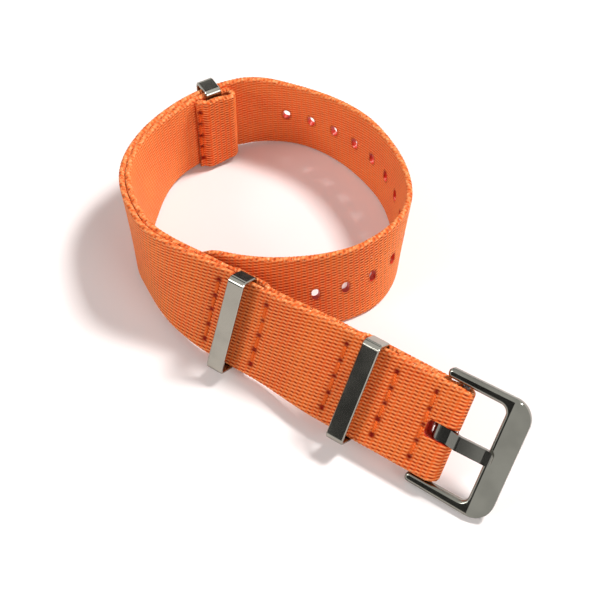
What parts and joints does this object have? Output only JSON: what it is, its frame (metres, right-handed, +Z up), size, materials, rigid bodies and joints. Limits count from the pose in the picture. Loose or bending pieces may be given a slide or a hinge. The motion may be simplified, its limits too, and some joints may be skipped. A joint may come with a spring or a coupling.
{
  "type": "watch strap",
  "caption": "Woven pass-through watch strap: punched webbing folded round a spring bar, framed tongue buckle, a second sewn strap and sliding metal keeper rings.",
  "frame": {"origin": "middle of the bottom of the bounding box, on the surface that the strap stands on", "axes": "+X from the loop to the buckle along the straight front, +Y from the front to the back of the loop, +Z up"},
  "size_m": [0.1082, 0.0716, 0.0225],
  "materials": {
    "webbing": "woven, matt",
    "thread": "matt",
    "steel": "brushed, polished edges",
    "bar_steel": "turned"
  },
  "bodies": {
    "strap": {"main_strap": "webbing", "keeper_strap": "webbing", "stitch_row_a": "thread", "stitch_row_b": "thread", "stitch_row_c": "thread", "stitch_row_d": "thread", "stitch_row_e": "thread", "stitch_row_f": "thread", "spring_bar_tube": "bar_steel", "spring_bar_coil": "bar_steel"},
    "near_ring": {"keeper_ring_near": "steel"},
    "middle_ring": {"keeper_ring_middle": "steel"},
    "end_ring": {"keeper_ring_end": "steel"},
    "frame": {"buckle_frame": "steel"},
    "tongue": {"buckle_tongue": "steel"},
    "pin_upper": {"spring_bar_pin_upper": "bar_steel"},
    "pin_lower": {"spring_bar_pin_lower": "bar_steel"}
  },
  "joints": [
    {"name": "buckle_hinge", "type": "hinge", "parent": "strap", "child": "frame", "pos_m": [0.04019, -0.02538, 0.01049], "axis": [0, -0.6018, -0.7986], "range_deg": [-45, 45]},
    {"name": "tongue_hinge", "type": "hinge", "parent": "frame", "child": "tongue", "pos_m": [0.04019, -0.02538, 0.01049], "axis": [0, -0.6018, -0.7986], "range_deg": [0, 65]},
    {"name": "near_ring_slide", "type": "slide", "parent": "strap", "child": "near_ring", "axis": [1, 0, 0], "range_m": [-0.0012, 0.0012]},
    {"name": "middle_ring_slide", "type": "slide", "parent": "strap", "child": "middle_ring", "axis": [1, 0, 0], "range_m": [-0.0012, 0.0012]},
    {"name": "end_ring_slide", "type": "slide", "parent": "strap", "child": "end_ring", "axis": [0.4304, 0.9027, 0], "range_m": [-0.0006, 0.0006]},
    {"name": "pin_upper_slide", "type": "slide", "parent": "strap", "child": "pin_upper", "axis": [0, -0.6018, -0.7986], "range_m": [0, 0.0013], "stiffness_N_per_m": 400, "springref_m": -0.002, "deforming": ["spring_bar_coil"]},
    {"name": "pin_lower_slide", "type": "slide", "parent": "strap", "child": "pin_lower", "axis": [0, 0.6018, 0.7986], "range_m": [0, 0.0013], "stiffness_N_per_m": 400, "springref_m": -0.002, "deforming": ["spring_bar_coil"]}
  ]
}
